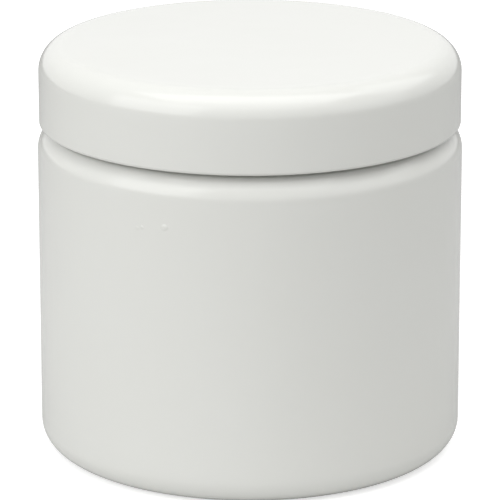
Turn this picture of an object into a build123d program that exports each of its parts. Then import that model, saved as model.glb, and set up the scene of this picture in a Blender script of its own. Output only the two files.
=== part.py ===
from build123d import *

import os
from math import acos, degrees, radians, sin, sqrt, tan

# A round enamelled canister with a slip-over lid and a soft inner lid that plugs its mouth.
# Sizes are in millimetres. The origin is the middle of the base, and +Z points up through the lids.

# Overall sizes
body_diameter = 105.0
overall_height = 102.3
lid_height = 19.5
sheet = 1.0  # steel with its enamel on both faces

# Canister body
base_corner_radius = 6.4
base_recess = 1.2  # the middle of the base stands this far above the standing ring
standing_ring_width = 3.5
recess_upper_radius = 2.0  # the two bends between the recessed base and the standing ring
recess_lower_radius = 2.5
shoulder_drop = 6.7  # from the lid's lower edge down to the top of the straight side
shoulder_radius = 6.2
shoulder_angle = 36.0  # how far the slope above the shoulder's round leans in from upright
ledge_gap = 0.5  # from the lid's lower edge down to where the ledge's line meets the neck
ledge_radius = 1.5  # the bend between the slope and the ledge
ledge_angle = 80.0  # how far the ledge leans in from upright
neck_root_radius = 0.8
rim_bead_radius = 1.2  # the rolled rim

# Outer lid
lid_inset = 0.4  # the lid's side stands this far inside the body's side
lid_edge_radius = 6.4
lid_clearance = 1.7  # between the rolled rim and the lid's inner face

# Inner lid
inner_lid_wall = 1.5
flange_thickness = 1.6
flange_setback = 0.5  # from the rim's widest line in to the flange's edge
flange_edge_radius = 0.6
rim_gap = 0.05  # between the rim's top and the flange
lid_seat_gap = 0.25  # between the flange's edge and the round inside the lid that rests on it
plug_depth = 13.0
plug_clearance = 0.9
plug_edge_radius = 1.4
seal_clearance = 0.25  # between the seal ribs and the mouth
seal_rib_shares = (0.34, 0.68)  # heights of the seal ribs, as shares of the plug's depth
recess_lip_radius = 0.8
recess_corner_radius = 2.0

# Finger grip across the inner lid's recess
grip_length = 46.0
grip_thickness = 3.0
grip_bulb_radius = 2.4
grip_drop = 4.0  # from the flange's top down to the grip's top
grip_foot_radius = 1.0

# Where the pieces fit each other
body_radius = body_diameter / 2
lid_radius = body_radius - lid_inset
lid_inner_radius = lid_radius - sheet
lid_flat_radius = lid_radius - lid_edge_radius
lid_round_z = overall_height - lid_edge_radius
lid_edge_z = overall_height - lid_height
bead_outer_radius = lid_inner_radius - lid_clearance
bead_centre_radius = bead_outer_radius - rim_bead_radius
mouth_radius = bead_centre_radius - rim_bead_radius
neck_radius = mouth_radius + sheet

# The inner lid's flange carries the outer lid: its rounded edge sits in the round inside the lid
flange_radius = bead_outer_radius - flange_setback
seat_radius = lid_edge_radius - sheet - flange_edge_radius - lid_seat_gap
seat_reach = flange_radius - flange_edge_radius - lid_flat_radius
flange_top = lid_round_z + flange_edge_radius + sqrt(seat_radius**2 - seat_reach**2)
flange_bottom = flange_top - flange_thickness
rim_top = flange_bottom - rim_gap


def bend_angle(first_radius, second_radius, offset):
    """Angle of two equal and opposite bends that shift a wall sideways by an offset."""
    return degrees(acos(1 - offset / (first_radius + second_radius)))


def bend_reach(radius, angle):
    """Length from the corner of two lines to the end of the bend between them."""
    return radius * tan(radians(angle) / 2)


# Canister body: one sheet from the middle of the base to the rolled rim
recess_angle = bend_angle(recess_upper_radius, recess_lower_radius, base_recess)
recess_step = (recess_upper_radius + recess_lower_radius) * sin(radians(recess_angle))
recess_radius = body_radius - base_corner_radius - standing_ring_width - recess_step
wall_top = lid_edge_z - shoulder_drop

# The slope leads up from the side's line to the ledge's line, and the ledge leads on to the neck's line
slope_rate = 1 / tan(radians(shoulder_angle))
ledge_rate = 1 / tan(radians(ledge_angle))
neck_inset = body_radius - neck_radius
slope_foot_z = wall_top + bend_reach(shoulder_radius, shoulder_angle)
neck_foot_z = lid_edge_z - ledge_gap
slope_inset = (neck_foot_z - slope_foot_z - neck_inset * ledge_rate) / (slope_rate - ledge_rate)
ledge_inset = neck_inset - slope_inset
ledge_reach = bend_reach(ledge_radius, ledge_angle - shoulder_angle)
slope_run = slope_inset / sin(radians(shoulder_angle))
slope_length = slope_run - bend_reach(shoulder_radius, shoulder_angle) - ledge_reach
ledge_run = ledge_inset / sin(radians(ledge_angle))
ledge_length = ledge_run - ledge_reach - bend_reach(neck_root_radius, ledge_angle)

bead_centre_z = rim_top - rim_bead_radius
bead_angle = degrees(acos(sheet / rim_bead_radius - 1))  # where the neck's outside meets the bead


def wall_face(inset):
    """Draw one face of the drawn sheet, from the middle of the base to the foot of the neck."""
    base = Line((0, base_recess + inset), (recess_radius, base_recess + inset))
    upper_bend = JernArc(base @ 1, base % 1, recess_upper_radius + inset, -recess_angle)
    lower_bend = JernArc(upper_bend @ 1, upper_bend % 1, recess_lower_radius - inset, recess_angle)
    ring = Line(lower_bend @ 1, (body_radius - base_corner_radius, inset))
    corner = JernArc(ring @ 1, ring % 1, base_corner_radius - inset, 90)
    side = Line(corner @ 1, (body_radius - inset, wall_top))
    shoulder = JernArc(side @ 1, side % 1, shoulder_radius - inset, shoulder_angle)
    slope = Line(shoulder @ 1, shoulder @ 1 + shoulder % 1 * slope_length)
    ledge_bend = JernArc(slope @ 1, slope % 1, ledge_radius - inset, ledge_angle - shoulder_angle)
    ledge = Line(ledge_bend @ 1, ledge_bend @ 1 + ledge_bend % 1 * ledge_length)
    neck_root = JernArc(ledge @ 1, ledge % 1, neck_root_radius + inset, -ledge_angle)
    return base @ 0, neck_root @ 1


with BuildPart() as canister_body:
    with BuildSketch(Plane.XZ):
        with BuildLine():
            outside_start, outside_end = wall_face(0)
            inside_start, inside_end = wall_face(sheet)
            bead_centre = (bead_centre_radius, bead_centre_z)
            bead = CenterArc(bead_centre, rim_bead_radius, -bead_angle, 180 + bead_angle)
            Line(outside_end, bead @ 0)
            Line(bead @ 1, inside_end)
            Line(inside_start, outside_start)
        make_face()
    revolve(axis=Axis.Z)

# Outer lid: a flat-topped cap with a rounded edge, whose lower edge is as thin as the sheet
with BuildPart() as outer_lid:
    with BuildSketch(Plane.XZ):
        with BuildLine():
            top = Line((0, overall_height), (lid_flat_radius, overall_height))
            outer_round = JernArc(top @ 1, top % 1, lid_edge_radius, -90)
            outer_side = Line(outer_round @ 1, (lid_radius, lid_edge_z + sheet / 2))
            lower_edge = JernArc(outer_side @ 1, outer_side % 1, sheet / 2, -180)
            inner_side = Line(lower_edge @ 1, (lid_inner_radius, lid_round_z))
            inner_round = JernArc(inner_side @ 1, inner_side % 1, lid_edge_radius - sheet, 90)
            underside = Line(inner_round @ 1, (0, overall_height - sheet))
            Line(underside @ 1, top @ 0)
        make_face()
    revolve(axis=Axis.Z)

# Inner lid: a soft dish that plugs the mouth, with a flange over the rim and a grip to pull it by
plug_radius = mouth_radius - plug_clearance
plug_bottom = flange_bottom - plug_depth
floor_top = plug_bottom + inner_lid_wall
seal_rib_radius = plug_clearance - seal_clearance
dish_radius = plug_radius - inner_lid_wall
grip_top = flange_top - grip_drop
bulb_z = grip_top - grip_bulb_radius
bulb_reach = grip_length / 2 - grip_bulb_radius

with BuildPart() as inner_lid:
    with BuildSketch(Plane.XZ):
        with BuildLine():
            underside = Line((0, plug_bottom), (plug_radius - plug_edge_radius, plug_bottom))
            plug_edge = JernArc(underside @ 1, underside % 1, plug_edge_radius, 90)
            plug_side_start = plug_edge @ 1
            for share in seal_rib_shares:
                rib_centre = (plug_radius, plug_bottom + plug_depth * share)
                seal_rib = CenterArc(rib_centre, seal_rib_radius, -90, 180)
                Line(plug_side_start, seal_rib @ 0)
                plug_side_start = seal_rib @ 1
            plug_side = Line(plug_side_start, (plug_radius, flange_bottom))
            flange_under = Line(plug_side @ 1, (flange_radius - flange_edge_radius, flange_bottom))
            lower_round = JernArc(flange_under @ 1, flange_under % 1, flange_edge_radius, 90)
            flange_edge = Line(lower_round @ 1, (flange_radius, flange_top - flange_edge_radius))
            upper_round = JernArc(flange_edge @ 1, flange_edge % 1, flange_edge_radius, 90)
            flange_face = Line(upper_round @ 1, (dish_radius + recess_lip_radius, flange_top))
            lip = JernArc(flange_face @ 1, flange_face % 1, recess_lip_radius, 90)
            dish_side = Line(lip @ 1, (dish_radius, floor_top + recess_corner_radius))
            dish_corner = JernArc(dish_side @ 1, dish_side % 1, recess_corner_radius, -90)
            floor = Line(dish_corner @ 1, (0, floor_top))
            Line(floor @ 1, underside @ 0)
        make_face()
    revolve(axis=Axis.Z)
    with BuildSketch(Plane.XY.offset(floor_top)):
        SlotOverall(bulb_reach * 2 + grip_thickness, grip_thickness)
    extrude(amount=bulb_z - floor_top)
    grip_foot = inner_lid.edges(Select.LAST).group_by(Axis.Z)[0]
    fillet(grip_foot, grip_foot_radius)
    with BuildSketch(Plane.XZ):
        with BuildLine():
            Line((-grip_length / 2, bulb_z), (grip_length / 2, bulb_z))
            right_end = CenterArc((bulb_reach, bulb_z), grip_bulb_radius, 0, 90)
            left_end = CenterArc((-bulb_reach, bulb_z), grip_bulb_radius, 90, 90)
            Line(right_end @ 1, left_end @ 0)
        make_face()
    revolve(axis=Axis((0, 0, bulb_z), (1, 0, 0)))

# Write each piece to its own file
os.makedirs("parts", exist_ok=True)

canister_body.part.label = "canister_body"
export_step(canister_body.part, "parts/canister_body.step")

outer_lid.part.label = "outer_lid"
export_step(outer_lid.part, "parts/outer_lid.step")

inner_lid.part.label = "inner_lid"
export_step(inner_lid.part, "parts/inner_lid.step")
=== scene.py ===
# %% [markdown]
# # A white enamelled canister, dressed around its imported model
#
# The real object is a drawn steel can with a slip-over cap, both coated in glossy white enamel, and a
# soft polyethylene inner lid that plugs the mouth under the cap. The imported model gives the exact
# pieces and bodies. This lesson gives them their looks: smooth turned surfaces made by Geometry Nodes,
# procedural finishes, and a plain studio with the photograph's camera.
#
# The first step loads the imported model as a fixed frame.

# %% Load the imported model
import math

import bpy
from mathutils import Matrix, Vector


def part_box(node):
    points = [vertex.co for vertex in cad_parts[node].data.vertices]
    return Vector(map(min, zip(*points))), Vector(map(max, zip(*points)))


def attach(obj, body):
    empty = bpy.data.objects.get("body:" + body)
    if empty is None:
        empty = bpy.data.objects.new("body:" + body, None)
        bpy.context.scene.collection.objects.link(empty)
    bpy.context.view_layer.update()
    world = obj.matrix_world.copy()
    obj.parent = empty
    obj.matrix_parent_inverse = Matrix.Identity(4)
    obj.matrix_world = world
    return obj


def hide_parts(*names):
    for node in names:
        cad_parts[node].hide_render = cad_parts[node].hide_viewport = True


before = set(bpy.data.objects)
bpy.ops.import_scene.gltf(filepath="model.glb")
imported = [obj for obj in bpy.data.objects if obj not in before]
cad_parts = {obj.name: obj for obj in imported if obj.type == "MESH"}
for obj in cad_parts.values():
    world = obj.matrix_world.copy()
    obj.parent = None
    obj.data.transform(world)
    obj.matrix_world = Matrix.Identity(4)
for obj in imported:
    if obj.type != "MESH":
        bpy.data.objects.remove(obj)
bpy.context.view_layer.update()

# %% [markdown]
# Sizes come from the frame wherever it can give them: a node's box holds its radius and its heights.
# What a box can't tell, such as the sheet's thickness or the radius of a bend, is written in the cell
# that first needs it, in metres, as the part was designed.

# %% Read the sizes
body_low, body_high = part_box("canister_body")
cap_low, cap_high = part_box("outer_lid")

stand_level = body_low.z
body_radius = body_high.x
rim_top = body_high.z
cap_radius = cap_high.x
cap_top = cap_high.z
cap_edge = cap_low.z

print(f"body radius {body_radius:.4f}, cap radius {cap_radius:.4f}, height {cap_top:.4f} m")

# %% [markdown]
# The camera stands where the photograph was taken: nearly a metre away, a little above the canister,
# with a long lens, so the sides look almost parallel. It could be placed by eye, but its distance,
# height and lens were fitted to the outline of the cap and the can, which pins all three down.

# %% Place the camera
view_distance = 0.978
view_elevation = math.radians(16.836)
view_aim = Vector((0.0, 0.0, 0.0490))
lens_length = 282.0
sensor_width = 36.0

view_back = Vector((0.0, -math.cos(view_elevation), math.sin(view_elevation)))
camera_data = bpy.data.cameras.new("camera")
camera_data.lens = lens_length
camera_data.sensor_width = sensor_width
camera = bpy.data.objects.new("camera", camera_data)
camera.location = view_aim + view_back * view_distance
camera.rotation_euler = (math.pi / 2 - view_elevation, 0.0, 0.0)
bpy.context.scene.collection.objects.link(camera)
bpy.context.scene.camera = camera
bpy.context.scene.view_settings.view_transform = "Standard"
print("camera at", tuple(round(c, 4) for c in camera.location))

# %% [markdown]
# Every material and every node tree below is wired in the same way, so three small helpers come first.
# One adds a node and sets its settings and inputs. One feeds an input, from another node's output or
# with a plain value. The third adds a sum and gives its result.

# %% Helpers for node trees
def add_node(tree, kind, settings=None, **inputs):
    """Add a node, set its properties from settings, and set its inputs by name."""
    node = tree.nodes.new(kind)
    for name, value in (settings or {}).items():
        setattr(node, name, value)
    for name, value in inputs.items():
        node.inputs[name.replace("_", " ")].default_value = value
    return node


def feed(tree, source, node, socket):
    """Feed a node's input, given by name or number, from an output or with a plain value."""
    if isinstance(source, bpy.types.NodeSocket):
        tree.links.new(source, node.inputs[socket])
    else:
        node.inputs[socket].default_value = source


def do_math(tree, operation, *values, kind="ShaderNodeMath"):
    """Add a Math node whose inputs are outputs of other nodes or plain numbers."""
    node = add_node(tree, kind, {"operation": operation})
    for number, value in enumerate(values):
        feed(tree, value, node, number)
    return node.outputs["Value"]


# %% [markdown]
# Two more helpers serve the materials. Both work like a slider between two ends: one maps a value from
# one range to another, and the other mixes two colours.

# %% Helpers for shades
def spread(tree, value, to_range, from_range=(0.0, 1.0)):
    """Map a value from one range to another, and hold it inside that."""
    node = add_node(tree, "ShaderNodeMapRange", From_Min=from_range[0], From_Max=from_range[1],
                    To_Min=to_range[0], To_Max=to_range[1])
    feed(tree, value, node, "Value")
    return node.outputs["Result"]


def mix_colours(tree, share, first, second):
    """Mix two colours: a share of 0 gives the first and a share of 1 the second."""
    node = add_node(tree, "ShaderNodeMix", {"data_type": "RGBA"})
    feed(tree, share, node, 0)
    feed(tree, first, node, "A")
    feed(tree, second, node, "B")
    return node.outputs[2]


# %% [markdown]
# The photograph has a white ground. More light would whiten a floor, but it would brighten the canister
# too. So the floor is plain pale paper, and rays that come straight from the camera see it a little
# brighter than it is lit: it reads as white and still keeps the canister's soft shadow. A helper tells
# those rays from the others, and lets reflections see a share of the lift.

# %% Helper for what the camera sees
def seen_share(tree, glossy_share):
    """1 for camera and transmission rays, glossy_share for reflections, and 0 for other rays."""
    path = add_node(tree, "ShaderNodeLightPath").outputs
    direct = do_math(tree, "MAXIMUM", path["Is Camera Ray"], path["Is Transmission Ray"])
    mirrored = do_math(tree, "MULTIPLY", path["Is Glossy Ray"], glossy_share)
    return do_math(tree, "MAXIMUM", direct, mirrored)


# %% [markdown]
# Away from the canister the paper is greyer, as where a sheet of paper ends on a table, so less light
# comes back from there to the upper part of the sides. The lift grows as the paper gets greyer. The
# paper's underside is left clear, so that the base can be looked at from below.

# %% Mix the ground paper
paper_near_colour = (0.72, 0.72, 0.72, 1.0)
paper_far_colour = (0.52, 0.52, 0.52, 1.0)
paper_fade_range = (0.15, 0.45)
paper_lift_range = (0.62, 1.0)
paper_glossy_share = 0.04

paper = bpy.data.materials.new("ground_paper")
paper.use_nodes = True
paper_tree = paper.node_tree
paper_tree.nodes.clear()
paper_away = add_node(paper_tree, "ShaderNodeVectorMath", {"operation": "LENGTH"})
feed(paper_tree, add_node(paper_tree, "ShaderNodeTexCoord").outputs["Object"], paper_away, 0)
paper_fade = spread(paper_tree, paper_away.outputs["Value"], (0.0, 1.0), paper_fade_range)
paper_colour = mix_colours(paper_tree, paper_fade, paper_near_colour, paper_far_colour)
paper_lift = spread(paper_tree, paper_fade, paper_lift_range)
paper_seen = do_math(paper_tree, "MULTIPLY", seen_share(paper_tree, paper_glossy_share), paper_lift)

paper_matt = add_node(paper_tree, "ShaderNodeBsdfDiffuse")
feed(paper_tree, paper_colour, paper_matt, "Color")
paper_glow = add_node(paper_tree, "ShaderNodeEmission")
feed(paper_tree, paper_seen, paper_glow, "Strength")
paper_face = add_node(paper_tree, "ShaderNodeAddShader")
feed(paper_tree, paper_matt.outputs["BSDF"], paper_face, 0)
feed(paper_tree, paper_glow.outputs["Emission"], paper_face, 1)
paper_clear = add_node(paper_tree, "ShaderNodeBsdfTransparent")
paper_sheet = add_node(paper_tree, "ShaderNodeMixShader")
feed(paper_tree, add_node(paper_tree, "ShaderNodeNewGeometry").outputs["Backfacing"], paper_sheet, 0)
feed(paper_tree, paper_face.outputs["Shader"], paper_sheet, 1)
feed(paper_tree, paper_clear.outputs["BSDF"], paper_sheet, 2)
paper_out = add_node(paper_tree, "ShaderNodeOutputMaterial")
feed(paper_tree, paper_sheet.outputs["Shader"], paper_out, "Surface")
print("paper has", len(paper_tree.nodes), "nodes")

# %% [markdown]
# The floor is a wide flat ring of that paper, just below the canister. A plain disc would look the same
# in the photograph, but it would keep all light from the base. The ring's round hole is hidden by the
# canister and lets some light reach the base, for views from below.

# %% Lay the floor
floor_radius = 3.0
floor_hole = 0.0466
floor_drop = 0.00005
floor_steps = 96

floor_level = stand_level - floor_drop
floor_turns = [math.tau * step / floor_steps for step in range(floor_steps)]
floor_points = [(radius * math.cos(turn), radius * math.sin(turn), floor_level)
                for radius in (floor_hole, floor_radius) for turn in floor_turns]
floor_faces = []
for step in range(floor_steps):
    following = (step + 1) % floor_steps
    floor_faces.append((step, step + floor_steps, following + floor_steps, following))
floor_mesh = bpy.data.meshes.new("floor")
floor_mesh.from_pydata(floor_points, [], floor_faces)
floor_mesh.materials.append(paper)
floor = bpy.data.objects.new("floor", floor_mesh)
bpy.context.scene.collection.objects.link(floor)
print("floor", floor_radius * 2, "m wide, with", len(floor_faces), "faces")

# %% [markdown]
# Past the floor lies the world. It could be one plain white, but that would light the canister evenly
# from all round and flatten its form. So it lights the canister weakly, while the camera and the
# reflections see it as white.

# %% Light the room
room_light = 0.26
room_seen_light = 1.0
room_glossy_share = 1.0
room_colour = (1.0, 1.0, 1.0, 1.0)

room = bpy.data.worlds.new("room")
room.use_nodes = True
room_tree = room.node_tree
room_tree.nodes.clear()
room_soft = add_node(room_tree, "ShaderNodeBackground", Color=room_colour, Strength=room_light)
room_white = add_node(room_tree, "ShaderNodeBackground", Color=room_colour, Strength=room_seen_light)
room_mix = add_node(room_tree, "ShaderNodeMixShader")
feed(room_tree, seen_share(room_tree, room_glossy_share), room_mix, 0)
feed(room_tree, room_soft.outputs["Background"], room_mix, 1)
feed(room_tree, room_white.outputs["Background"], room_mix, 2)
room_out = add_node(room_tree, "ShaderNodeOutputWorld")
feed(room_tree, room_mix.outputs["Shader"], room_out, "Surface")
bpy.context.scene.world = room
print("room light", room_light)

# %% [markdown]
# The photograph's light is soft and comes mostly from above: a wide box overhead brightens the cap's top
# and puts a broad highlight on its rounded edge. A large key on the left, a weak front box and two weak
# boxes on the right model the sides. Small lamps would give hard spots on the gloss instead. Each box is
# given by where it stands round the canister: its angle from the front, its height angle, its distance
# and its size.

# %% Hang the soft boxes
soft_box_aim = Vector((0.0, 0.0, 0.06))


def soft_box(name, azimuth, elevation, distance, width, height, power):
    """A rectangular lamp that stands at two angles, in degrees, and faces the canister."""
    turn = math.radians(azimuth)
    rise = math.radians(elevation)
    away = Vector((math.sin(turn) * math.cos(rise), -math.cos(turn) * math.cos(rise), math.sin(rise)))
    lamp = bpy.data.lights.new(name, "AREA")
    lamp.shape = "RECTANGLE"
    lamp.size = width
    lamp.size_y = height
    lamp.energy = power
    box = bpy.data.objects.new(name, lamp)
    box.location = soft_box_aim + away * distance
    box.rotation_euler = (-away).to_track_quat("-Z", "Y").to_euler()
    bpy.context.scene.collection.objects.link(box)
    return box


soft_boxes = [
    soft_box("top_box", azimuth=0, elevation=80, distance=1.0, width=1.40, height=0.66, power=6.05),
    soft_box("front_box", azimuth=0, elevation=50, distance=1.0, width=1.40, height=0.38, power=1.55),
    soft_box("left_box", azimuth=-54, elevation=24, distance=1.1, width=1.00, height=0.80, power=4.18),
    soft_box("right_box", azimuth=113, elevation=44, distance=1.1, width=0.70, height=0.60, power=1.45),
    soft_box("right_fill", azimuth=68, elevation=20, distance=1.1, width=0.90, height=0.60, power=0.78),
]
print([box.name for box in soft_boxes])

# %% [markdown]
# No real surface is quite even. Small changes of tone, gloss and level could be painted on an image, but
# a pattern in space, on Object coordinates, needs no unwrapping and fits every round face. So two helpers
# make a noise of a given scale and a bump of a given depth.

# %% Helpers for patterns
noise_detail = 2.0


def noise(tree, place, scale):
    """A noise of a given scale on a place, as a value from 0 to 1."""
    node = add_node(tree, "ShaderNodeTexNoise", Scale=scale, Detail=noise_detail)
    feed(tree, place, node, "Vector")
    return node.outputs["Fac"]


def bump(tree, height, depth, strength=1.0, under=None):
    """A bump of a given depth in metres, on top of the bump under it if there is one."""
    node = add_node(tree, "ShaderNodeBump", Strength=strength, Distance=depth)
    feed(tree, height, node, "Height")
    if under is not None:
        feed(tree, under, node, "Normal")
    return node.outputs["Normal"]


# %% [markdown]
# Enamel is a layer of opaque white glass fused onto the steel. Its white is a touch warmer in some places
# than in others. On the tightest bends, such as the cap's lower edge, the coat is thinner, and the darker
# coat under it greys it a little. That grey is also painted shade: on the cap's lower edge it deepens the
# dark line in the gap under the cap, where shade falls. The skins made below carry the radius of each bend
# as an attribute, so the colour can follow it without a mask.

# %% Colour the enamel
enamel_white = (0.860, 0.868, 0.832, 1.0)
enamel_warm = (0.848, 0.852, 0.808, 1.0)
# The ground coat's grey, also used as painted shade on the cap's lower edge in the gap under the cap.
enamel_ground_and_painted_shade = (0.30, 0.29, 0.27, 1.0)
enamel_tone_scale = 28.0
thin_coat_and_shade_bend_range = (0.0004, 0.0006)
thin_coat_and_shade_share_range = (0.3, 0.0)

enamel = bpy.data.materials.new("white_enamel")
enamel.use_nodes = True
enamel_tree = enamel.node_tree
enamel_shader = enamel_tree.nodes["Principled BSDF"]
enamel_place = add_node(enamel_tree, "ShaderNodeTexCoord").outputs["Object"]
enamel_tone = noise(enamel_tree, enamel_place, enamel_tone_scale)
enamel_coat = mix_colours(enamel_tree, enamel_tone, enamel_white, enamel_warm)
# Grey on the tightest bends: partly a thin coat, partly painted shade in the gap under the cap.
enamel_bend = add_node(enamel_tree, "ShaderNodeAttribute", {"attribute_name": "bend"})
enamel_thin_coat_and_shade = spread(enamel_tree, enamel_bend.outputs["Fac"], thin_coat_and_shade_share_range, thin_coat_and_shade_bend_range)
enamel_colour = mix_colours(enamel_tree, enamel_thin_coat_and_shade, enamel_coat, enamel_ground_and_painted_shade)
feed(enamel_tree, enamel_colour, enamel_shader, "Base Color")
print("enamel's colour has", len(enamel_tree.nodes), "nodes")

# %% [markdown]
# The enamel is glossy but not mirror flat: the surface rolls a little from the sheet under it and has a
# fine orange peel from the spray, and the gloss varies with the roll. Each of these is a noise at its own
# real scale. The peel's bump lies on the roll's, so one normal carries both.

# %% Give the enamel its gloss
enamel_refraction = 1.5
enamel_gloss_range = (0.10, 0.18)
enamel_roll_scale = 45.0
enamel_roll_depth = 0.00006
enamel_peel_scale = 700.0
enamel_peel_depth = 0.000004

enamel_shader.inputs["IOR"].default_value = enamel_refraction
enamel_waves = noise(enamel_tree, enamel_place, enamel_roll_scale)
feed(enamel_tree, spread(enamel_tree, enamel_waves, enamel_gloss_range), enamel_shader, "Roughness")
enamel_roll = bump(enamel_tree, enamel_waves, enamel_roll_depth)
enamel_specks = noise(enamel_tree, enamel_place, enamel_peel_scale)
enamel_peel = bump(enamel_tree, enamel_specks, enamel_peel_depth, under=enamel_roll)
feed(enamel_tree, enamel_peel, enamel_shader, "Normal")
print("enamel has", len(enamel_tree.nodes), "nodes")

# %% [markdown]
# The inner lid is moulded from soft polyethylene: a milky, slightly see-through white with a satin face.
# A plain white would look like chalk. Light goes a few millimetres into the real one, so it gets
# subsurface scattering, two close tones as the plastic flowed in the mould, and a fine grain.

# %% Mix the polyethylene
plastic_milky = (0.85, 0.87, 0.86, 1.0)
plastic_clear = (0.80, 0.825, 0.815, 1.0)
plastic_flow_scale = 40.0
plastic_grain_scale = 1800.0
plastic_grain_depth = 0.000012
plastic_grain_strength = 0.5
plastic_gloss_range = (0.38, 0.50)
plastic_glow_share = 0.6
plastic_glow_depth = 0.002
plastic_glow_colours = (1.0, 0.9, 0.8)

plastic = bpy.data.materials.new("soft_polyethylene")
plastic.use_nodes = True
plastic_tree = plastic.node_tree
plastic_shader = plastic_tree.nodes["Principled BSDF"]
plastic_shader.inputs["Subsurface Weight"].default_value = plastic_glow_share
plastic_shader.inputs["Subsurface Radius"].default_value = plastic_glow_colours
plastic_shader.inputs["Subsurface Scale"].default_value = plastic_glow_depth
plastic_place = add_node(plastic_tree, "ShaderNodeTexCoord").outputs["Object"]
plastic_flow = noise(plastic_tree, plastic_place, plastic_flow_scale)
plastic_colour = mix_colours(plastic_tree, plastic_flow, plastic_milky, plastic_clear)
feed(plastic_tree, plastic_colour, plastic_shader, "Base Color")
plastic_specks = noise(plastic_tree, plastic_place, plastic_grain_scale)
feed(plastic_tree, spread(plastic_tree, plastic_specks, plastic_gloss_range), plastic_shader, "Roughness")
plastic_grain = bump(plastic_tree, plastic_specks, plastic_grain_depth, plastic_grain_strength)
feed(plastic_tree, plastic_grain, plastic_shader, "Normal")
print("polyethylene has", len(plastic_tree.nodes), "nodes")

# %% [markdown]
# The can and the cap are turned forms: one outline, swung round the axis. Blender's Spin would do it, but
# a Geometry Nodes tree keeps the rule in one place and serves every turned piece. Each tree here has named
# inputs and ends in the same way: copies are made real and the finish is set. Helpers open a tree, read
# an attribute that its geometry carries, and close it.

# %% Helpers that open and close a tree
def open_tree(name, inputs, output):
    """A Geometry Nodes tree with named inputs of given kinds and one geometry output."""
    tree = bpy.data.node_groups.new(name, "GeometryNodeTree")
    for label, kind in inputs.items():
        tree.interface.new_socket(label, in_out="INPUT", socket_type="NodeSocket" + kind)
    tree.interface.new_socket(output, in_out="OUTPUT", socket_type="NodeSocketGeometry")
    return tree, tree.nodes.new("NodeGroupInput").outputs


def carried(tree, name, kind):
    """The attribute of a given name and kind that the geometry carries."""
    node = add_node(tree, "GeometryNodeInputNamedAttribute", {"data_type": kind}, Name=name)
    return node.outputs["Attribute"]


def close_tree(tree, geometry, finish):
    """End a tree: make its geometry real, set its material and send it out."""
    real = add_node(tree, "GeometryNodeRealizeInstances")
    feed(tree, geometry, real, "Geometry")
    coated = add_node(tree, "GeometryNodeSetMaterial")
    feed(tree, real.outputs["Geometry"], coated, "Geometry")
    feed(tree, finish, coated, "Material")
    feed(tree, coated.outputs["Geometry"], add_node(tree, "NodeGroupOutput"), 0)


# %% [markdown]
# The turning tree takes an outline of a few corner points, each with the radius of its bend. The first
# part of the tree rounds the corners by those radii and divides the long straight stretches, so that no
# face gets too long. The outline could come ready rounded, but this way a corner stays one point.

# %% Round and divide an outline
def rounded_outline(tree, given, bend):
    """The outline as a curve, with its corners rounded and its long stretches divided."""
    line = add_node(tree, "GeometryNodeMeshToCurve")
    feed(tree, given["Outline"], line, "Mesh")
    rounded = add_node(tree, "GeometryNodeFilletCurve", {"mode": "POLY"}, Limit_Radius=True)
    feed(tree, line.outputs["Curve"], rounded, "Curve")
    feed(tree, given["Bend steps"], rounded, "Count")
    feed(tree, bend, rounded, "Radius")

    here = add_node(tree, "GeometryNodeInputPosition").outputs["Position"]
    index = add_node(tree, "GeometryNodeInputIndex").outputs["Index"]
    ahead = add_node(tree, "GeometryNodeFieldAtIndex", {"data_type": "FLOAT_VECTOR", "domain": "POINT"})
    feed(tree, here, ahead, "Value")
    feed(tree, do_math(tree, "ADD", index, 1.0), ahead, "Index")
    stretch = add_node(tree, "ShaderNodeVectorMath", {"operation": "DISTANCE"})
    feed(tree, here, stretch, 0)
    feed(tree, ahead.outputs["Value"], stretch, 1)
    rows_needed = do_math(tree, "DIVIDE", stretch.outputs["Value"], given["Row length"])
    divided = add_node(tree, "GeometryNodeSubdivideCurve")
    feed(tree, rounded.outputs["Curve"], divided, "Curve")
    feed(tree, do_math(tree, "FLOOR", rows_needed), divided, "Cuts")
    return divided.outputs["Curve"]


# %% [markdown]
# The second part lays a grid with one row for each point of that curve and one column for each step of
# the turn. Every grid point takes the place of its curve point, turned about the axis. It also keeps the
# radius of the bend there as an attribute, which the enamel's colour reads.

# %% Lay the turned grid
def at_point(tree, curve, index, value, kind):
    """What a value of a given kind is at one point of a curve."""
    node = add_node(tree, "GeometryNodeSampleIndex", {"data_type": kind, "domain": "POINT"})
    feed(tree, curve, node, "Geometry")
    feed(tree, value, node, "Value")
    feed(tree, index, node, "Index")
    return node.outputs["Value"]


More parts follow.
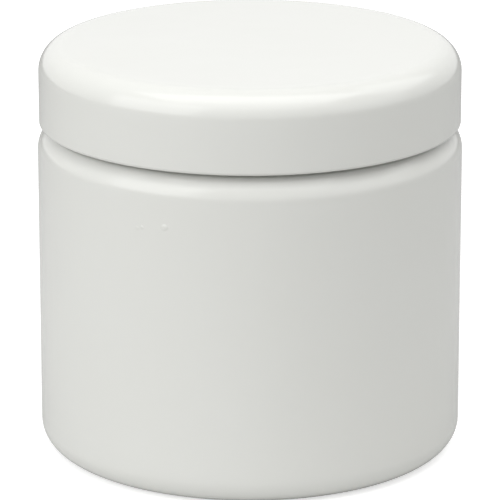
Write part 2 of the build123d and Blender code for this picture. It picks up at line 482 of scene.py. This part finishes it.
def turned_grid(tree, given, curve, bend):
    """A grid whose columns are a curve, turned step by step about Z, with the bend at each point."""
    size = add_node(tree, "GeometryNodeAttributeDomainSize", {"component": "CURVE"})
    feed(tree, curve, size, "Geometry")
    rows = size.outputs["Point Count"]
    grid = add_node(tree, "GeometryNodeMeshGrid")
    feed(tree, do_math(tree, "ADD", given["Segments"], 1.0), grid, "Vertices X")
    feed(tree, rows, grid, "Vertices Y")

    here = add_node(tree, "GeometryNodeInputPosition").outputs["Position"]
    index = add_node(tree, "GeometryNodeInputIndex").outputs["Index"]
    row = do_math(tree, "MODULO", index, rows, kind="FunctionNodeIntegerMath")
    column = do_math(tree, "DIVIDE_FLOOR", index, rows, kind="FunctionNodeIntegerMath")
    turn = do_math(tree, "DIVIDE", column, given["Segments"])
    turned = add_node(tree, "ShaderNodeVectorRotate", {"rotation_type": "Z_AXIS"})
    feed(tree, at_point(tree, curve, row, here, "FLOAT_VECTOR"), turned, "Vector")
    feed(tree, do_math(tree, "MULTIPLY", turn, math.tau), turned, "Angle")
    placed = add_node(tree, "GeometryNodeSetPosition")
    feed(tree, grid.outputs["Mesh"], placed, "Geometry")
    feed(tree, turned.outputs["Vector"], placed, "Position")

    point_value = {"data_type": "FLOAT", "domain": "POINT"}
    kept = add_node(tree, "GeometryNodeStoreNamedAttribute", point_value, Name="bend")
    feed(tree, placed.outputs["Geometry"], kept, "Geometry")
    feed(tree, at_point(tree, curve, row, bend, "FLOAT"), kept, "Value")
    return kept.outputs["Geometry"]


# %% [markdown]
# Put together, the two parts give a grid that is open along a seam and full of doubled points on the
# axis. Merging points that share a place closes it into a skin, and smooth shading hides its faces.

# %% Build the turning tree
merge_reach = 0.000001
turning_inputs = {
    "Outline": "Geometry",
    "Segments": "Int",
    "Bend steps": "Int",
    "Row length": "Float",
    "Finish": "Material",
}


def turning_tree(name):
    """A tree that rounds an outline's corners and turns it about Z into a closed skin."""
    tree, given = open_tree(name, turning_inputs, "Skin")
    bend = carried(tree, "bend", "FLOAT")
    curve = rounded_outline(tree, given, bend)
    closed = add_node(tree, "GeometryNodeMergeByDistance", Distance=merge_reach)
    feed(tree, turned_grid(tree, given, curve, bend), closed, "Geometry")
    smooth = add_node(tree, "GeometryNodeSetShadeSmooth", {"domain": "FACE"}, Shade_Smooth=True)
    feed(tree, closed.outputs["Geometry"], smooth, "Geometry")
    close_tree(tree, smooth.outputs["Geometry"], given["Finish"])
    return tree


turning = turning_tree("turn_outline")
print(turning.name, "has", len(turning.nodes), "nodes")

# %% [markdown]
# A tree works on an object through a modifier, and its inputs are set by their identifiers. Afterwards
# the result is read back as a plain mesh and the modifier goes, so that what is kept is only geometry.

# %% Helper that runs a tree
def run_tree(piece, tree, **inputs):
    """Run a tree on an object with named inputs and keep the result as the object's plain mesh."""
    modifier = piece.modifiers.new(tree.name, "NODES")
    modifier.node_group = tree
    for item in tree.interface.items_tree:
        if item.in_out == "INPUT" and item.name.replace(" ", "_") in inputs:
            modifier[item.identifier] = inputs[item.name.replace(" ", "_")]
    depsgraph = bpy.context.evaluated_depsgraph_get()
    made = bpy.data.meshes.new_from_object(piece.evaluated_get(depsgraph))
    piece.modifiers.remove(modifier)
    piece.data = made
    made.name = piece.name
    return piece


# %% [markdown]
# A turned piece starts as a plain line of corners. The can and the cap share the same fineness: enough
# segments for a smooth outline, and enough steps in a bend for an even highlight.

# %% Helper that turns a piece
turn_segments = 256
turn_bend_steps = 14
turn_row_length = 0.004


def turned_piece(name, corners, finish, segments=turn_segments, bend_steps=turn_bend_steps,
                 row_length=turn_row_length):
    """A turned piece from corners of (radius, height, bend), the first and the last on the axis."""
    mesh = bpy.data.meshes.new(name)
    points = [(radius, 0.0, height) for radius, height, bend in corners]
    mesh.from_pydata(points, [(i, i + 1) for i in range(len(points) - 1)], [])
    bends = mesh.attributes.new("bend", "FLOAT", "POINT")
    bends.data.foreach_set("value", [bend for radius, height, bend in corners])
    piece = bpy.data.objects.new(name, mesh)
    bpy.context.scene.collection.objects.link(piece)
    run_tree(piece, turning, Segments=segments, Bend_steps=bend_steps, Row_length=row_length,
             Finish=finish)
    print(name, len(piece.data.polygons), "faces")
    return piece


# %% [markdown]
# The cap is pressed from one sheet: a flat top, one round edge, a straight skirt, and a lower edge that
# is fully rounded because the enamel runs round it. It could be a bevelled cylinder with a thickness, but
# six corners say the same and give each bend its own radius. A point on the axis isn't bent, so it has a
# radius far wider than the cap.

# %% Turn the cap
flat = 1.0
sheet = 0.0010
cap_bend = 0.0064

cap_inside = cap_radius - sheet
cap = turned_piece("enamel_cap", [
    (0.0, cap_top - sheet, flat),
    (cap_inside, cap_top - sheet, cap_bend - sheet),
    (cap_inside, cap_edge, sheet / 2),
    (cap_radius, cap_edge, sheet / 2),
    (cap_radius, cap_top, cap_bend),
    (0.0, cap_top, flat),
], enamel)
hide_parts("outer_lid")
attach(cap, "cover")

# %% [markdown]
# The can is one drawn sheet too: a base that is recessed inside a standing ring, a round corner, a
# straight side, a shoulder, and a neck whose rim is rolled into a bead. The cap slips over the bead, so
# the cap's inside sets how wide the bead, the mouth and the neck are. Two opposite bends lift the base,
# and their angle follows from how far they lift it.

# %% Size the can's rim and base
bead = 0.0012
bead_gap = 0.0017
bead_root_bend = 0.0002
base_recess = 0.0012
base_bend = 0.0064
ring_width = 0.0035
recess_upper_bend = 0.0020
recess_lower_bend = 0.0025

bead_outside = cap_inside - bead_gap
bead_foot = rim_top - 2 * bead
mouth_radius = bead_outside - 2 * bead
neck_radius = mouth_radius + sheet
ring_inside = body_radius - base_bend - ring_width
recess_bends = recess_upper_bend + recess_lower_bend
recess_angle = math.acos(1 - base_recess / recess_bends)
recess_radius = ring_inside - recess_bends * math.sin(recess_angle)
print(f"mouth radius {mouth_radius:.4f}, flat base radius {recess_radius:.4f} m")

# %% [markdown]
# Just under the cap the photograph shows a thin dark line with a soft shade below it. Of the shoulders
# that were tried, one with a small ledge came closest: a round leads into a slope, the slope into the
# ledge, and the ledge into the neck, close under the cap's edge. The slope and the ledge are straight
# lines that lean in from upright, so the corner where they meet can be worked out.

# %% Size the can's shoulder
shoulder_drop = 0.0067
shoulder_bend = 0.0062
shoulder_lean = math.radians(36)
ledge_gap = 0.00050
ledge_bend = 0.0015
ledge_lean = math.radians(80)
neck_bend = 0.0008

slope_rate = 1 / math.tan(shoulder_lean)
ledge_rate = 1 / math.tan(ledge_lean)
slope_foot = cap_edge - shoulder_drop + shoulder_bend * math.tan(shoulder_lean / 2)
neck_foot = cap_edge - ledge_gap
neck_inset = body_radius - neck_radius
ledge_inset = (neck_foot - slope_foot - neck_inset * ledge_rate) / (slope_rate - ledge_rate)
ledge_radius = body_radius - ledge_inset
ledge_height = slope_foot + ledge_inset * slope_rate
print(f"ledge from radius {ledge_radius:.4f} in to {neck_radius:.4f} m")

# %% [markdown]
# The can's outside and inside are the same line, a sheet's thickness apart, so one function gives both.
# Solidify could thicken one skin, but here each bend keeps its true radius: on the inside a bend that
# turns the same way as the base corner is tighter by the sheet, and one that turns the other way is wider.

# %% Corners of the can's sheet
def moved_corner(radius, height, bend, lean_before, lean_after, inset):
    """A corner of the outside, moved in square to the two lines that meet there and lean from upright."""
    middle = (lean_before + lean_after) / 2
    half = (lean_after - lean_before) / 2
    shift = inset / math.cos(half)
    side = 1 if half > 0 else -1
    return (radius - shift * math.cos(middle), height - shift * math.sin(middle), bend - side * inset)


def can_face(inset):
    """Corners of one face of the can's sheet, from the middle of the base to the neck."""
    upper_bend = recess_upper_bend + inset
    lower_bend = recess_lower_bend - inset
    half_recess = math.tan(recess_angle / 2)
    return [
        (0.0, base_recess + inset, flat),
        (recess_radius + upper_bend * half_recess, base_recess + inset, upper_bend),
        (ring_inside - lower_bend * half_recess, inset, lower_bend),
        (body_radius - inset, inset, base_bend - inset),
        moved_corner(body_radius, slope_foot, shoulder_bend, 0.0, shoulder_lean, inset),
        moved_corner(ledge_radius, ledge_height, ledge_bend, shoulder_lean, ledge_lean, inset),
        moved_corner(neck_radius, neck_foot, neck_bend, ledge_lean, 0.0, inset),
    ]


# %% [markdown]
# The can's outline runs up the outside, round the bead and back down the inside. The bead is three corners
# whose bends meet, which makes it round.

# %% Turn the can
can = turned_piece("enamel_can", [
    *can_face(0.0),
    (neck_radius, bead_foot, bead_root_bend),
    (bead_outside, bead_foot, bead),
    (bead_outside, rim_top, bead),
    (mouth_radius, rim_top, bead),
    *reversed(can_face(sheet)),
], enamel)
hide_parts("canister_body")
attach(can, "canister")

# %% [markdown]
# Fused enamel often keeps a few pimples, where a speck or a gas bubble lies under the coat. The
# photograph shows a clear one high on the front of the can and two faint ones beside it. They could be
# set by eye, but here each is a point of the photograph, cast from the camera onto the can's side, so the
# pimples land where they were seen.

# %% Place the pimples
photo_pixels = 500
pimple_places = [
    {"column": 164.4, "row": 227.8, "width": 1.05, "height": 1.0},
    {"column": 142.0, "row": 227.4, "width": 0.60, "height": 0.48},
    {"column": 137.2, "row": 227.8, "width": 0.60, "height": 0.48},
]


def on_side(column, row):
    """The point of the can's side that the camera sees at a place in the photograph."""
    pixel = sensor_width / photo_pixels
    ray = Vector(((column - photo_pixels / 2) * pixel, (photo_pixels / 2 - row) * pixel, -lens_length))
    ray.rotate(camera.rotation_euler)
    across = ray.xy
    start = camera.location.xy
    half_b = start.dot(across)
    root = math.sqrt(half_b**2 - across.length_squared * (start.length_squared - body_radius**2))
    return camera.location + ray * ((-half_b - root) / across.length_squared)


place_points = [on_side(place["column"], place["row"]) for place in pimple_places]
print("pimples at", [tuple(round(c, 4) for c in point) for point in place_points])

# %% [markdown]
# What repeats is made once and copied. A second tree sets a copy of a shape at each point, facing along
# the point's outward vector and scaled by its size, both of which the points carry as attributes.

# %% Build the scattering tree
scatter_inputs = {"Places": "Geometry", "Shape": "Object", "Finish": "Material"}


def scatter_tree(name):
    """A tree that sets a copy of a shape at each point, turned to face along its outward vector."""
    tree, given = open_tree(name, scatter_inputs, "Copies")
    shape = add_node(tree, "GeometryNodeObjectInfo")
    feed(tree, given["Shape"], shape, "Object")
    facing = add_node(tree, "FunctionNodeAlignRotationToVector", {"axis": "Z"})
    feed(tree, carried(tree, "outward", "FLOAT_VECTOR"), facing, "Vector")
    copies = add_node(tree, "GeometryNodeInstanceOnPoints")
    feed(tree, given["Places"], copies, "Points")
    feed(tree, shape.outputs["Geometry"], copies, "Instance")
    feed(tree, facing.outputs["Rotation"], copies, "Rotation")
    feed(tree, carried(tree, "size", "FLOAT_VECTOR"), copies, "Scale")
    close_tree(tree, copies.outputs["Instances"], given["Finish"])
    return tree


scattering = scatter_tree("scatter_shape")
print(scattering.name, "has", len(scattering.nodes), "nodes")

# %% [markdown]
# A pimple is a low round swelling that runs out softly into the coat. The turning tree makes it too, with
# a finer grid because it is so small. Its underside sinks a little into the can, so that no gap shows.

# %% Turn a swelling
pimple_reach = 0.0014
pimple_height = 0.00014
pimple_sink = 0.00003
pimple_bend = 0.0012
pimple_foot_share = 0.6
pimple_top_share = 0.3
pimple_segments = 48
pimple_bend_steps = 8
pimple_row_length = 0.0001

swelling = turned_piece("swelling", [
    (0.0, -2 * pimple_sink, flat),
    (pimple_reach, -2 * pimple_sink, pimple_sink),
    (pimple_reach, -pimple_sink, pimple_sink),
    (pimple_reach * pimple_foot_share, 0.0, pimple_bend),
    (pimple_reach * pimple_top_share, pimple_height, pimple_bend),
    (0.0, pimple_height, flat),
], enamel, pimple_segments, pimple_bend_steps, pimple_row_length)

# %% [markdown]
# The pimples are part of the coat, so they become one piece that takes the enamel and moves with the can.
# The swelling itself has then done its work and goes.

# %% Raise the pimples
pimple_mesh = bpy.data.meshes.new("enamel_pimples")
pimple_mesh.from_pydata(place_points, [], [])
pimple_outward = pimple_mesh.attributes.new("outward", "FLOAT_VECTOR", "POINT")
pimple_size = pimple_mesh.attributes.new("size", "FLOAT_VECTOR", "POINT")
for number, place in enumerate(pimple_places):
    pimple_outward.data[number].vector = (place_points[number].x, place_points[number].y, 0.0)
    pimple_size.data[number].vector = (place["width"], place["width"], place["height"])
pimples = bpy.data.objects.new("enamel_pimples", pimple_mesh)
bpy.context.scene.collection.objects.link(pimples)
run_tree(pimples, scattering, Shape=swelling, Finish=enamel)
bpy.data.objects.remove(swelling)
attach(pimples, "canister")
print(len(place_points), "pimples,", len(pimples.data.polygons), "faces")

# %% [markdown]
# The inner lid is a soft moulding with seal ribs and a finger grip. It could be turned like the others,
# but the grip isn't round, and the lid's own solid already has its final shape. So the solid stays and
# only takes the finish.

# %% Finish the inner lid
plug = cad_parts["inner_lid"]
plug.data.materials.clear()
plug.data.materials.append(plastic)
plug_low, plug_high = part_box("inner_lid")
print(f"inner lid {plug_high.x - plug_low.x:.4f} m wide and {plug_high.z - plug_low.z:.4f} m high")
